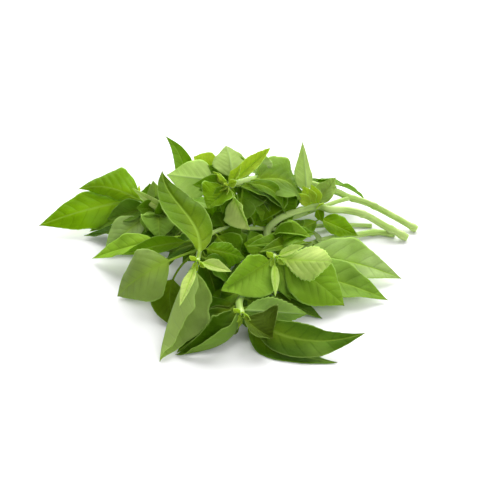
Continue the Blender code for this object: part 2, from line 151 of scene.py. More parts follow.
LEAVES = (
    # The shoot that reaches furthest left.
    leaf("left_1", "left", -2, (-132, 33, 8), 31, (0, -5, 9), fold=(-22, 0), curl=(-30, -20),
         halves=(0.95, 1), arch=0.07),
    leaf("left_2", "left", -8, (-106, 55, 24), 40, (0, -4, 9), fold=(-45, 5), curl=(-25, -35),
         halves=(0.4, 1), arch=0.21, peak=0.7, petiole=0.05),
    leaf("left_3", "left", -15, (-84, 31, 15), 19, (1, -6, 7), fold=(28, 24), curl=20, arch=0.05),
    leaf("left_4", "left", -23, (-83, 12, 1), 26, (0, 6, -7), curl=-20, twist=15, petiole=0.27,
         peak=0.95),
    leaf("left_5", "left", -19, (-101, 30, 2), 16, (0, 2, 10), fold=10, arch=-0.08, petiole=0.45),
    leaf("left_6", "left", -34, (-48, 18, 4), 40, (0, -9, 5), fold=(30, 12), curl=(50, 20), arch=0.2,
         petiole=0.08),
    leaf("left_7", "left", -38, (-67, 41, 34), 7, (0, -8, 4), fold=15, arch=0.04, petiole=0.05),
    leaf("left_8", "left", -40, (-44, 62, 63), 14, (3, -8, 2), fold=10, bend=0.15, skew=0.3,
         peak=0.95, petiole=0.15),
    leaf("left_9", "left", 100, (-38, 84, 3), 26, (0, 2, 10), arch=0.05),
    # The shoot in the middle of the front, on the slender stem.
    leaf("centre_1", "slender", -3, (-43, 14, 64), 29, (1, -7.5, 6.5), fold=(12, 8), curl=(30, -35),
         halves=(1, 0.85), bend=0.05, skew=-2.5, twist=25, petiole=0.06),
    leaf("centre_2", "slender", -6, (-40, -103, 0.6), 42, (10, -2, 1), fold=(40, 55), curl=(45, 60),
         halves=(1.15, 0.6), arch=-0.05, bend=-0.01, petiole=0.08),
    leaf("centre_3", "slender", -1, (-28, -88, 31), 8, (-3, -5, 8), fold=25),
    leaf("centre_4", "slender", -1, (3, -62, 38), 9, (0, -4, 9), fold=25),
    leaf("centre_5", "slender", -22, (-71, -41, 3), 37, (-3, -7, 7), fold=(5, 10), curl=(-35, -50),
         arch=0.20, petiole=0.28),
    leaf("centre_6", "slender", -24, (11, -34, 28), 34, (0, -5, 8), fold=(0, -25), curl=(0, -35),
         halves=(0.4, 1), arch=0.08),
    leaf("centre_7", "slender", -52, (-92, 1, 3), 20, (0, -2, 10), fold=25, curl=-20,
         arch=0.05, petiole=0.45),
    leaf("centre_8", "slender", -38, (-69, -19, 20), 12, (0, -6, 8), fold=20, arch=0.10, petiole=0.20),
    leaf("centre_9", "slender", -54, (-71, -40, 2), 15, UP, fold=15, petiole=0.40),
    leaf("centre_10", "slender", -26, (-29, -73, 0.5), 24, (0, -2, 10), fold=12, arch=-0.10,
         bend=0.26, petiole=0.42),
    leaf("centre_11", "slender", -60, (9, -4, 15), 22, (0, -6, 8), fold=15),
    leaf("centre_12", "slender", -62, (-27, -5, 5), 26, (0, -3, 10)),
    leaf("centre_13", "slender", 70, (20, -8, 8), 18, (0, -5, 8), petiole=0.20),
    # The shoot that reaches furthest forward.
    leaf("front_1", "front", -13, (-31, -97, 1), 28, (0, -1, 10), fold=(80, 45), curl=(15, 20),
         halves=(0.85, 1.25), bend=-0.30, skew=-0.3, arch=0.02, peak=0.65, petiole=0.05),
    leaf("front_2", "front", -4, (84, -92, 14), 27, (0, -5, 9), fold=(12, 5), curl=(20, -20),
         halves=(0.7, 0.9), arch=-0.02, bend=0.14, twist=15, petiole=0.1),
    leaf("front_3", "front", -2.5, (67, -104, 1), 25, (0, -2, 10), fold=(-5, -10), curl=(-10, -35),
         halves=(0.6, 0.9), bend=0.09, arch=-0.10, petiole=0.08),
    leaf("front_4", "front", -6, (50, -73, 13.5), 18, (0, 7, -5), fold=20, petiole=0.05),
    leaf("front_5", "front", -46, (60, -61, 0.5), 15, UP, fold=15, petiole=0.30),
    leaf("front_6", "front", -22, (-28, -76, 2), 26, (0, -3, 10)),
    leaf("front_9", "front", -0.5, (28, -92, 10), 42, (1, -6, 8), fold=(0, 35), curl=(15, 40),
         halves=(0.95, 0.5), arch=0.07, bend=0.08, peak=1.4, petiole=0.04),
    leaf("front_7", "front", 108, (103, -44, 2), 33, (0, -2, 10), arch=0.08, petiole=0.15),
    leaf("front_8", "front", 86, (114, -22, 3), 34, (0, -3, 10), arch=0.10),
    # The shoot on the right, at the end of the middle stem.
    leaf("right_1", "middle", -3, (-4, -58, 20), 40, (1, -5, 8), fold=(10, 58), halves=(1, 0.6),
         petiole=0.06),
    leaf("right_2", "middle", -1, (30, -65, 21), 6, (4, -6, 7), fold=20),
    leaf("right_3", "middle", -15, (48, -57, 9), 23, (0, -5, 8)),
    leaf("right_4", "middle", -5, (74, -55, 6), 36, (0, -4, 9), curl=-30, arch=0.11, peak=0.9),
    leaf("right_5", "middle", -1, (66, -49, 36), 25, (0, -5, 8), fold=(-20, -8), peak=1.1, petiole=0.1),
    leaf("right_6", "middle", -4, (49, -34, 38), 8, (0, -3, 9), fold=20),
    leaf("right_7", "middle", -10, (49, -21, 21), 10, (0, -5, 9), fold=25, arch=0.04),
    leaf("right_8", "middle", -26, (57, -6, 28), 22, (0, -2, 10), fold=20, arch=0.14, petiole=0.04),
    # The shoot on top, at the end of the back stem.
    leaf("top_1", "back", -2, (28, 37, 68), 13, (3, -5, 8), fold=45),
    leaf("top_2", "back", -1, (14, -13, 35), 25, (-7, -5, 4), fold=(20, 25), halves=(0.3, 1),
         petiole=0.26),
    leaf("top_3", "back", -3, (-14, 1, 43), 29, (-2, -6, 8), fold=(40, 10), petiole=0.09),
    leaf("top_4", "back", -9, (-42, 35, 48), 27, (0, 7, -6), petiole=0.30),
    leaf("top_5", "back", -12, (-24, 44, 57), 17, (0, -8, 5), petiole=0.50),
    leaf("top_6", "back", -7, (-2, 48, 63), 24, (0, 0, -1), arch=-0.12),
    leaf("top_7", "back", -18, (50, 40, 21), 38, (3, -1, 10), fold=(15, 0), arch=0.26, peak=0.65),
    leaf("top_8", "back", -4, (39, 20, 26), 16, (2, 0, 10), arch=0.15),
    leaf("top_9", "back", -10, (29, 18, 34), 8, (0, -3, 10), fold=20, arch=0.06),
    leaf("top_10", "back", -30, (33, 23, 28), 17, (0, 6, -7), fold=5, petiole=0.25),
    leaf("top_11", "back", -15, (7, 3, 29), 20, (0, -5, 8), petiole=0.35),
    leaf("top_12", "back", 94, (76, 80, 4), 26, (0, 3, 10), arch=0.10),
    leaf("top_13", "back", 122, (12, 92, 3), 28, (0, 3, 10), arch=0.03),
    # The leaves at the first node of the middle stem.
    leaf("node_1", "middle", 76, (50, 56, 62), 15, (-3, 8, 3), fold=25, petiole=0.26, peak=0.5),
    leaf("node_2", "middle", 70, (73, 45, 40), 15, (-2, -6, 7), fold=(30, 20), petiole=0.05),
    leaf("node_3", "twig", -1, (89, 25, 5), 18, (0, -3, 9), petiole=0.02, peak=0.7),
    leaf("node_4", "twig", -1, (38, 10, 14), 14, (0, -3, 10)),
)

# The leaves inside and behind, which have no solid of their own: they fill the bunch, and many are darkened
# with painted shade to stand for the shade inside it.
INNER_LEAVES = (
    leaf("left_10", "left", 152, (-55, 47, 34), 13, (-3, -6, 5), fold=35, petiole=0.2),
    cupped("left_11", "left", 146, (-55, 26, 12), 15, (0, -6, 6)),
    leaf("left_12", "left", 138, (-69, 19, 3), 24, (0, -3, 10), arch=0.12),
    arched("left_13", "left", 128, (-48, 11, 3), 26, (0, -3, 10)),
    arched("left_14", "left", 120, (-36, 11, 3), 26, (0, -3, 10)),
    cupped("left_15", "left", 112, (-25, 20, 34), 20, (0, -6, 6)),
    cupped("left_16", "left", 104, (-10, 19, 36), 22, (0, -6, 6)),
    leaf("left_17", "left", 160, (-97, 32, 4), 11, (0, -3, 10), fold=20, petiole=0.45),
    arched("centre_14", "left", 95, (2, -6, 10), 26, (0, -4, 9)),
    arched("centre_15", "left", 84, (16, 1, 10), 24, (0, -3, 9)),
    arched("centre_16", "left", 98, (-16, 7, 6), 26, (0, -3, 9)),
    arched("centre_17", "slender", 150, (-42, -7, 6), 22, (0, -3, 9)),
    arched("centre_18", "slender", 128, (6, -18, 12), 24, (0, -3, 9)),
    arched("centre_19", "slender", 165, (-7, -46, 5), 20, (0, -3, 9)),
    arched("centre_20", "slender", 172, (3, -40, 12), 18, (0, -3, 9)),
    cupped("centre_21", "slender", 115, (-9, 17, 30), 18, (0, -6, 7)),
    arched("centre_22", "slender", 140, (-35, 3, 12), 18, (0, -3, 9)),
    arched("centre_23", "slender", 120, (14, -10, 8), 20, (0, -3, 9)),
    leaf("top_14", "back", 145, (37, 17, 30), 13, (1, -2, 10), fold=10, arch=0.3),
    cupped("top_15", "back", 128, (10, 11, 34), 22, (0, -6, 6)),
    cupped("top_16", "back", 112, (22, 14, 24), 26, (0, -6, 6)),
    arched("top_17", "back", 104, (43, 30, 20), 20, (0, -5, 7)),
    leaf("top_18", "back", 150, (-24, 19, 50), 13, (-1, -7, 6), fold=(35, 10)),
    leaf("top_19", "back", 155, (-11, 7, 46), 8, (-2, -6, 7), fold=25),
    cupped("top_20", "back", 136, (-5, 41, 56), 20, (0, -7, 4)),
    arched("top_21", "back", 118, (42, 22, 16), 22, (0, -4, 8)),
    cupped("top_22", "left", 88, (6, 15, 38), 24, (0, -7, 5)),
    cupped("top_23", "left", 76, (22, 22, 36), 24, (0, -7, 5)),
    cupped("top_24", "left", 64, (35, 27, 28), 22, (0, -6, 6)),
    leaf("right_9", "middle", 118, (54, -13, 30), 16, (0, -2, 10), fold=35, arch=0.1),
    leaf("right_10", "middle", 118, (12, -12, 22), 14, (0, -4, 8), fold=20),
    arched("right_11", "middle", 140, (20, -30, 6), 24, (0, -3, 9)),
    leaf("right_12", "middle", 150, (40, -53, 8), 18, (0, -3, 9), arch=0.15),
    arched("right_13", "left", 54, (46, 15, 10), 22, (0, -2, 10)),
    arched("right_14", "left", 72, (32, 8, 8), 24, (0, -2, 10)),
    arched("right_15", "front", 62, (68, -3, 3), 24, (0, -2, 10)),
    arched("front_10", "front", 84, (22, -45, 3), 26, (0, -2, 10)),
    arched("front_11", "front", 100, (46, -44, 2), 26, (0, -2, 10)),
    arched("front_12", "front", 118, (-2, -29, 3), 24, (0, -2, 10)),
    arched("front_13", "front", 132, (-3, -64, 3), 22, (0, -2, 10)),
    arched("front_14", "front", 160, (22, -78, 3), 18, (0, -2, 10)),
    arched("front_15", "front", 150, (37, -70, 2), 20, (0, -2, 10)),
    cupped("node_5", "middle", 70, (64, 26, 16), 7, (0, -6, 6)),
    cupped("node_6", "middle", 72, (52, 36, 20), 7, (0, -6, 6)),
    leaf("node_7", "middle", 69, (72, 45, 36), 8, (0, -6, 6), fold=25),
    cupped("left_18", "left", 150, (-49, 36, 30), 14, (0, -7, 5)),
    arched("left_19", "left", 142, (-53, 29, 13), 16, (0, -8, 5)),
    arched("left_20", "left", 132, (-40, 22, 13), 16, (0, -8, 5)),
    cupped("left_21", "left", 134, (-37, 30, 30), 16, (0, -7, 5)),
    cupped("top_25", "back", 151, (-4, 3, 38), 13, (0, -7, 6)),
    leaf("top_26", "back", 152, (-16, 18, 42), 12, (0, -7, 6), fold=(25, 5)),
    arched("centre_24", "middle", 124, (12, -8, 14), 15, (0, -4, 8)),
    arched("centre_25", "slender", 160, (-2, -42, 8), 17, (0, -4, 8)),
    leaf("right_16", "front", 62, (12, -28, 33), 15, (0, -3, 9), fold=25, arch=0.03),
    cupped("left_22", "left", 146, (-52, 41, 40), 12, (0, -7, 5), petiole=0.05),
    cupped("left_23", "left", 134, (-43, 34, 38), 15, (0, -7, 5), petiole=0.05),
    leaf("left_24", "left", 156, (-58, 40, 8), 9, (2, -7, 5), fold=10, petiole=0.1),
    cupped("left_25", "left", 138, (-47, 23, 34), 15, (0, -7, 5), petiole=0.05),
    cupped("left_26", "left", 147, (-60, 26, 20), 14, (0, -7, 5), petiole=0.1),
    arched("centre_26", "slender", 138, (-42, -4, 12), 15, (0, -4, 8)),
    arched("centre_27", "slender", 150, (-30, -16, 12), 15, (0, -4, 8)),
    leaf("front_16", "front", -14, (-13, -81, 3), 24, (0, -4, 9), fold=-5),
    arched("front_17", "front", -34, (-12, -52, 5), 20, (0, -4, 9)),
    leaf("node_8", "middle", 72, (50, 34, 40), 11, (0, -7, 5), fold=20, petiole=0.05),
    leaf("node_9", "middle", 68, (61, 25, 31), 7, (0, -7, 5), fold=20),
    leaf("node_10", "middle", 74, (46, 28, 38), 8, (0, -7, 5), fold=20),
    leaf("node_11", "middle", 69, (56, 36, 40), 10, (0, -7, 5), fold=20, petiole=0.05),
    leaf("right_17", "front", 66, (20, -36, 34), 13, (0, -4, 8), fold=20, arch=0.05),
    cupped("top_27", "back", 148, (-10, 38, 50), 15, (0, -7, 5), petiole=0.1),
    cupped("top_28", "back", 150, (-8, 17, 30), 13, (0, -7, 5), petiole=0.1),
    cupped("centre_28", "left", 92, (-12, 8, 26), 16, (0, -7, 6)),
    cupped("left_27", "left", 158, (-61, 33, 14), 12, (0, -7, 6)),
    cupped("left_28", "left", 132, (-44, 20, 24), 15, (0, -8, 5)),
    arched("top_29", "back", 110, (44, 87, 3), 24, (0, 3, 10)),
    arched("top_30", "back", 84, (98, 72, 4), 20, (0, 3, 10)),
    arched("top_31", "back", 135, (-4, 64, 26), 18, (0, 4, 9)),
    arched("top_32", "back", 118, (28, 66, 22), 20, (0, 4, 9)),
    arched("top_33", "back", 102, (52, 74, 12), 18, (0, 4, 9)),
    leaf("left_29", "left", 112, (-12, 74, 3), 22, (0, 2, 10), arch=0.08),
    leaf("left_30", "left", 88, (2, 62, 3), 22, (0, 2, 10), arch=0.08),
    leaf("left_31", "left", 126, (-54, 70, 3), 20, (0, 2, 10), arch=0.08),
    arched("left_32", "left", 118, (-34, 58, 14), 18, (0, 3, 9)),
    leaf("right_18", "middle", -20, (10, -12, 24), 16, (0, -5, 9), fold=15, arch=0.1),
    leaf("front_18", "front", -16, (-30, -96, 2), 24, (0, -2, 10), fold=5),
    cupped("left_33", "left", 146, (-63, 27, 27), 13, (0, -7, 5), petiole=0.1),
    leaf("left_34", "left", 158, (-80, 30, 10), 13, (0, -6, 6), fold=10, petiole=0.1),
    cupped("left_35", "left", 130, (-49, 20, 20), 14, (0, -7, 5), petiole=0.1),
    leaf("top_34", "back", 128, (20, 46, 60), 20, (-1, -6, 6), fold=10, petiole=0.1),
    cupped("top_35", "back", 146, (-14, 34, 56), 14, (0, -7, 5), petiole=0.1),
    cupped("top_36", "back", 140, (0, 27, 44), 14, (0, -7, 5), petiole=0.1),
    cupped("top_37", "back", 150, (-20, 22, 44), 13, (0, -7, 5), petiole=0.1),
    leaf("front_19", "front", 52, (60, 14, 8), 22, (0, -4, 9), fold=10),
    leaf("left_37", "left", 144, (-46, 3, 16), 26, (0, -6, 7), fold=(5, 15), curl=(0, 30), arch=0.12),
    leaf("left_36", "left", 148, (-84, 8, 6), 22, (0, -6, 8), fold=5, petiole=0.25),
)

# The colour family of each leaf that isn't plain green; most of them paint light, shade or sheen into the
# leaf's colour.
TONES = {
    # Painted shade: leaves that lie in shade, and inner leaves that stand for the shade between leaves.
    "painted_shade": ("front_3", "left_3", "centre_9", "centre_12", "front_6", "front_5", "left_5", "top_9",
             "left_12", "left_13", "left_14", "left_18", "left_19", "left_20", "left_27", "centre_16",
             "centre_17", "centre_19", "centre_20", "centre_22", "centre_25", "right_11", "right_15",
             "front_10", "front_11", "front_12", "front_13", "front_14", "front_15"),
    # Deeper painted shade, for leaves in the darkest shade.
    "painted_deep_shade": ("front_1", "front_18"),
    # Darker and greyer, with stronger patches of painted sheen.
    "grey_painted_sheen": ("front_2",),
    # Their own brown tint, darkened further with painted shade.
    "brown_and_painted_shade": ("front_9", "front_16", "centre_26"),
    "olive": ("centre_10", "left_11", "left_15", "top_24", "left_21"),
    "vivid": ("centre_1", "right_17", "top_22"),
    # Painted light: lighter, yellower green for leaves that catch the light.
    "painted_lit": ("left_1", "left_2", "top_3", "right_3", "right_4", "right_7", "right_18", "top_16",
               "top_23", "centre_28", "node_3", "node_5"),
    # Painted light with a bluish painted sheen.
    "light": ("right_1", "centre_7", "right_9"),
    # A mild painted sheen.
    "soft": ("top_7", "front_7", "left_6", "left_29", "left_37"),
    # Painted sheen.
    "sheen": ("top_6", "node_2", "centre_2", "centre_5", "left_22"),
    # A strong painted sheen.
    "painted_strong_sheen": ("front_8", "front_19", "left_4", "left_36", "node_1", "top_34"),
    # The strongest painted sheen, nearly white.
    "pale": ("centre_3", "centre_4", "right_2", "right_5", "right_6", "left_7", "left_24", "top_2",
             "top_4"),
    "young": ("top_1", "top_5", "node_8", "node_9", "node_10", "node_11"),
}

# The leaves whose edges have larger teeth, with their depth in millimetres.
DEEP_TEETH = {"right_5": 1.3, "front_4": 1.0, "centre_6": 0.7, "top_1": 0.6}

SHOOTS = ("left", "centre", "front", "right", "top", "node", "tip")

# The growing tip of each stem: how many young leaves close over it, and the length of the longest.
TIPS = (("left", 8, 12), ("slender", 7, 9), ("front", 7, 10), ("middle", 7, 11), ("back", 11, 18))

# The scars of lower leaf pairs, where the stem is swollen: distances from the cut end.
SCARS = {"back": (3, 34, 50), "middle": (4, 13, 36), "front": (3, 15), "slender": (20,)}


def unit(vector):
    return vector / np.linalg.norm(vector)


def smooth_path(points, step):
    """Points about a step apart on the smooth curve through the given points."""
    p = np.array(points, float)
    p = np.vstack([2 * p[0] - p[1], p, 2 * p[-1] - p[-2]])
    path = []
    for a, b, c, d in zip(p, p[1:], p[2:], p[3:]):
        pieces = max(2, round(float(np.linalg.norm(c - b)) / step))
        for k in range(pieces):
            t = k / pieces
            path.append(0.5 * (2 * b + (c - a) * t + (2 * a - 5 * b + 4 * c - d) * t ** 2
                               + (3 * b - a - 3 * c + d) * t ** 3))
    path.append(p[-2])
    return np.array(path)


class StemLine:
    """A stem's middle line, measured by the distance from its cut end."""

    def __init__(self, stem):
        self.path = smooth_path(STEMS[stem]["points"], 1.0)
        steps = np.linalg.norm(np.diff(self.path, axis=0), axis=1)
        self.along = np.concatenate([[0.0], np.cumsum(steps)])
        self.length = self.along[-1]
        self.radii = STEMS[stem]["radii"]

    def middle(self, distance):
        return np.stack([np.interp(distance, self.along, self.path[:, axis]) for axis in range(3)], axis=-1)

    def direction(self, distance):
        after, before = np.minimum(distance + 1, self.length), np.maximum(distance - 1, 0)
        ahead = self.middle(after) - self.middle(before)
        return ahead / np.linalg.norm(ahead, axis=-1, keepdims=True)

    def radius(self, distance):
        start, end = self.radii
        return start + (end - start) * distance / self.length


LINES = {stem: StemLine(stem) for stem in STEMS}


def tip_leaves(stem, count, longest):
    """The youngest leaves at a stem's growing tip: crossed pairs that still close over each other."""
    line = LINES[stem]
    end = line.middle(line.length)
    axis = line.direction(line.length)
    side = unit(np.cross(axis, UP))
    over = np.cross(side, axis)
    for k in range(count):
        turn = math.radians(35 + 180 * (k % 2) + 90 * (k // 2) + 20 * math.sin(3 * k))
        lean = math.radians(16 + 9 * k)
        length = longest * (k + 2) / (count + 1)
        outward = math.cos(turn) * side + math.sin(turn) * over
        tip = end + length * (math.cos(lean) * axis + math.sin(lean) * outward)
        yield leaf(f"tip_{stem}_{k + 1}", stem, -0.6, tip, 0.42 * length + 0.6, axis - outward,
                   fold=32, arch=-0.12, petiole=0.05, wave=0.06)


def outline(spec, u):
    """How far along its blade each point of a leaf is, from 0 at the base to 1 at the tip, and how
    wide the blade is there, as a share of its widest."""
    share = (u - spec["petiole"]) / (1 - spec["petiole"])
    return share, np.sin(math.pi * np.clip(share, 0, 1) ** spec["peak"]) ** OUTLINE_POINT


def smooth_rise(value, low, high):
    t = np.clip((value - low) / (high - low), 0, 1)
    return t * t * (3 - 2 * t)


def vein_phase(share, lateral, hand, pairs):
    """Whole numbers of this lie on the side veins: they leave the midrib at a wide angle and bend
    towards the tip."""
    return pairs * (share - VEIN_LEAN * lateral - VEIN_BEND * lateral ** 2) + VEIN_STAGGER * hand


def leaf_course(spec, u):
    """Where a leaf's midrib runs, from the stem (u = 0) to its tip (1), with the directions across
    and upward from it there, and the distance between its ends."""
    line = LINES[spec["stem"]]
    at = spec["at"] if spec["at"] >= 0 else line.length + spec["at"]
    stem_middle = line.middle(at)
    stem_direction = line.direction(at)
    tip = np.array(spec["tip"], float)
    outward = unit(tip - stem_middle)
    outward = unit(outward - outward.dot(stem_direction) * stem_direction)
    base = stem_middle + outward * line.radius(at) * STALK_START

    chord = tip - base
    length = np.linalg.norm(chord)
    face = np.array(spec["face"], float)
    normal = unit(face - face.dot(chord) / length ** 2 * chord)
    side = np.cross(chord / length, normal)

    lean = 1 + spec["skew"] * (2 * u - 1)
    bow = 4 * u * (1 - u) * lean
    slope = 4 * (1 - 2 * u) * lean + 8 * u * (1 - u) * spec["skew"]
    bow_direction = length * (spec["arch"] * normal + spec["bend"] * side)
    midrib = base + np.outer(u, chord) + np.outer(bow, bow_direction)
    along = chord + np.outer(slope, bow_direction)
    along /= np.linalg.norm(along, axis=1)[:, None]
    upward = normal - (along @ normal)[:, None] * along
    upward /= np.linalg.norm(upward, axis=1)[:, None]
    across = np.cross(along, upward)
    turn = (np.radians(spec["twist"]) * (u - 0.5))[:, None]
    across, upward = (np.cos(turn) * across + np.sin(turn) * upward,
                      np.cos(turn) * upward - np.sin(turn) * across)
    return midrib, across, upward, length


def leaf_reach(spec, u, v, look, seed):
    """How far each point of the flattened leaf is from its midrib. The stalk thins out into the
    blade, whose edge has small teeth that point forward."""
    share, blade = outline(spec, u)
    size = spec["width"] / LARGE_WIDTH
    stalk = PETIOLE_HALF_WIDTH * np.clip(1.3 - u, 0.45, 1) * min(1, 0.5 + size / 2)
    stalk *= 1 - 0.8 * smooth_rise(share, 0.6, 1.0)
    half_width = np.maximum(spec["width"] / 2 * blade, stalk)
    reach = np.abs(v) * np.maximum(half_width * np.take(spec["halves"], (v > 0).astype(int)), 0.6 * stalk)
    depth = DEEP_TEETH.get(spec["name"], look.tooth / MM * size)
    notch = (share * look.teeth + 0.37 * seed) % 1
    near_edge = smooth_rise(np.abs(v), 0.7, 1.0)
    return reach + depth * notch * near_edge * np.clip(2 * blade, 0, 1) * (share < TEETH_END)


def leaf_surface(spec, u, v, look, seed):
    """Points of a leaf's upper side, from stalk (u = 0) to tip (1) and from its left edge (v = -1)
    to its right edge (1), with what the mesh and its map need to know about them."""
    midrib, across, upward, length = leaf_course(spec, u)
    share, blade = outline(spec, u)
    reach = leaf_reach(spec, u, v, look, seed)
    hand = (v > 0).astype(int)
    size = spec["width"] / LARGE_WIDTH

    # Each half is folded up at the midrib and curled on towards its edge.
    opened = np.clip(3 * blade, 0, 1)
    half_curl = np.radians(np.take(spec["curl"], hand)) * np.abs(v) / 2 * opened
    angle = np.radians(np.take(spec["fold"], hand)) * opened + half_curl
    chord_reach = reach * np.sinc(half_curl / math.pi)

    # Its edge waves and ripples, and all of it is a little crumpled.
    wave = np.sin(5 * math.pi * share + 1.3 * hand)
    rise = chord_reach * np.sin(angle) + spec["wave"] * spec["width"] * v * v * blade * wave
    ripple = np.sin(9 * math.pi * share + 2.1 * seed + hand)
    rise += RIPPLE * spec["width"] * np.abs(v) ** 3 * blade * ripple
    rise += look.crumple * spec["width"] * np.abs(v) * blade * np.sin(8 * share + 3 * v + 1.7 * seed)

    # The blade is puffed up between its side veins and sunk along them and along the midrib.
    lateral = reach / (length * (1 - spec["petiole"]))
    phase = vein_phase(share, lateral, hand, look.vein_pairs)
    puff = np.abs(np.sin(math.pi * phase)) ** 0.7 - 0.5
    puff *= smooth_rise(np.abs(v), 0.02, 0.25) * (1 - smooth_rise(np.abs(v), 0.75, 1.0))
    puff *= np.clip(2 * blade, 0, 1)
    rise += look.puff / MM * size * puff
    rise -= FURROW * size * np.exp(-(reach / (1.1 * size)) ** 2) * opened

    # The midrib and the stalk are round, and the rest is thin.
    rib = (RIB_RADIUS - RIB_TAPER * np.clip(share, 0, 1)) * min(1, 0.4 + 0.6 * size)
    round_rib = np.sqrt(np.clip(1 - (reach / rib) ** 2, 0, 1))
    thin = look.thickness / MM
    thickness = thin + (2 * rib * (1 - 0.35 * opened) - thin) * round_rib
    rise += (1 - opened) * thickness / 2

    points = midrib + (np.sign(v) * chord_reach * np.cos(angle))[:, None] * across + rise[:, None] * upward
    points[:, 2] = np.maximum(points[:, 2], SURFACE_GAP + thickness * np.maximum(upward[:, 2], 0) * 0.8)
    return points, thickness, share, 0.5 + np.sign(v) * lateral


def deselect():
    bpy.ops.object.select_all(action="DESELECT")


def add_grid(name, columns, rows):
    """A flat square grid with that many cells, and the place of each vertex across and along it."""
    deselect()
    bpy.ops.mesh.primitive_grid_add(x_subdivisions=columns, y_subdivisions=rows, size=1)
    piece = bpy.context.object
    piece.name = name
    piece.data.name = name
    places = np.zeros(len(piece.data.vertices) * 3)
    piece.data.vertices.foreach_get("co", places)
    places = places.reshape(-1, 3) + 0.5
    return piece, places[:, 0], places[:, 1]


def set_points(piece, points):
    piece.data.vertices.foreach_set("co", ((points - ORIGIN) * MM).ravel())
    piece.data.update()


def set_map(piece, first, second):
    """Lays the piece's own map by a pair of values for each vertex."""
    corners = np.zeros(len(piece.data.loops), int)
    piece.data.loops.foreach_get("vertex_index", corners)
    pairs = np.column_stack([first[corners], second[corners]])
    piece.data.uv_layers[0].data.foreach_set("uv", pairs.ravel())


def set_attribute(piece, name, values):
    attribute = piece.data.attributes.new(name, "FLOAT", "POINT")
    attribute.data.foreach_set("value", np.asarray(values, np.float32))


def apply_modifiers(piece):
    deselect()
    piece.select_set(True)
    bpy.context.view_layer.objects.active = piece
    for modifier in list(piece.modifiers):
        bpy.ops.object.modifier_apply(modifier=modifier.name)


def make_blade(spec, columns, rows, look, seed):
    """A leaf's mesh: a grid laid on its surface and thickened, most along its midrib and stalk."""
    piece, x, y = add_grid("blade_" + spec["name"], columns, rows)
    v = np.sign(x - 0.5) * np.abs(2 * x - 1) ** 1.5     # the cells are narrower near the midrib
    points, thickness, share, lateral = leaf_surface(spec, y, v, look, seed)
    set_points(piece, points)
    set_map(piece, share, lateral)
    thickest = float(thickness.max())
    group = piece.vertex_groups.new(name="thickness")
    for index, value in enumerate(thickness / thickest):
        group.add([index], float(value), "REPLACE")
    count = len(piece.data.vertices)
    bpy.ops.object.modifier_add(type="SOLIDIFY")
    solidify = piece.modifiers[-1]
    solidify.thickness = thickest * MM
    solidify.offset = -1
    solidify.vertex_group = group.name
    apply_modifiers(piece)
    piece.vertex_groups.clear()
    set_attribute(piece, "upper", np.arange(len(piece.data.vertices)) < count)
    set_attribute(piece, "edge", np.tile(np.abs(v), 2))
    bpy.ops.object.shade_smooth()
    return piece


def make_tube(name, stem, sides, step, look):
    """A stem's mesh: a grid rolled round its middle line, with swollen nodes and four soft ridges."""
    line = LINES[stem]
    rings = round(line.length / step)
    piece, x, y = add_grid(name, sides, rings)
    distance = y * line.length
    middle = line.middle(distance)
    direction = line.direction(distance)
    side = np.cross(direction, UP)
    side /= np.linalg.norm(side, axis=1)[:, None]
    over = np.cross(side, direction)
    turn = 2 * math.pi * x
    radius = line.radius(distance)
    nodes = [spec["at"] % line.length for spec in LEAVES if spec["stem"] == stem]
    for at in (*nodes, *SCARS.get(stem, ())):
        swell = 1 + look.node_swell * np.exp(-((distance - at) / SWELL_REACH) ** 2)
        radius = np.maximum(radius, line.radius(at) * swell)
    radius *= 1 + look.ridge * np.cos(4 * turn)
    radius *= 1 - END_TAPER * smooth_rise(distance, line.length - END_LENGTH, line.length)
    points = middle + radius[:, None] * (np.cos(turn)[:, None] * side - np.sin(turn)[:, None] * over)
    points[:, 2] = np.maximum(points[:, 2], STEM_GAP)
    set_points(piece, points)
    set_map(piece, distance * MM, x)
    close_tube()
    return piece


def close_tube():
    """Joins the long edges of the rolled grid, and closes its ends."""
    bpy.ops.object.mode_set(mode="EDIT")
    bpy.ops.mesh.select_all(action="SELECT")
    bpy.ops.mesh.remove_doubles(threshold=1e-6)
    bpy.ops.mesh.select_all(action="DESELECT")
    bpy.ops.mesh.select_mode(type="EDGE")
    bpy.ops.mesh.select_non_manifold()
    bpy.ops.mesh.edge_face_add()
    bpy.ops.mesh.select_all(action="SELECT")
    bpy.ops.mesh.normals_make_consistent(inside=False)
    bpy.ops.object.mode_set(mode="OBJECT")
    bpy.ops.object.shade_smooth_by_angle(angle=math.radians(50))


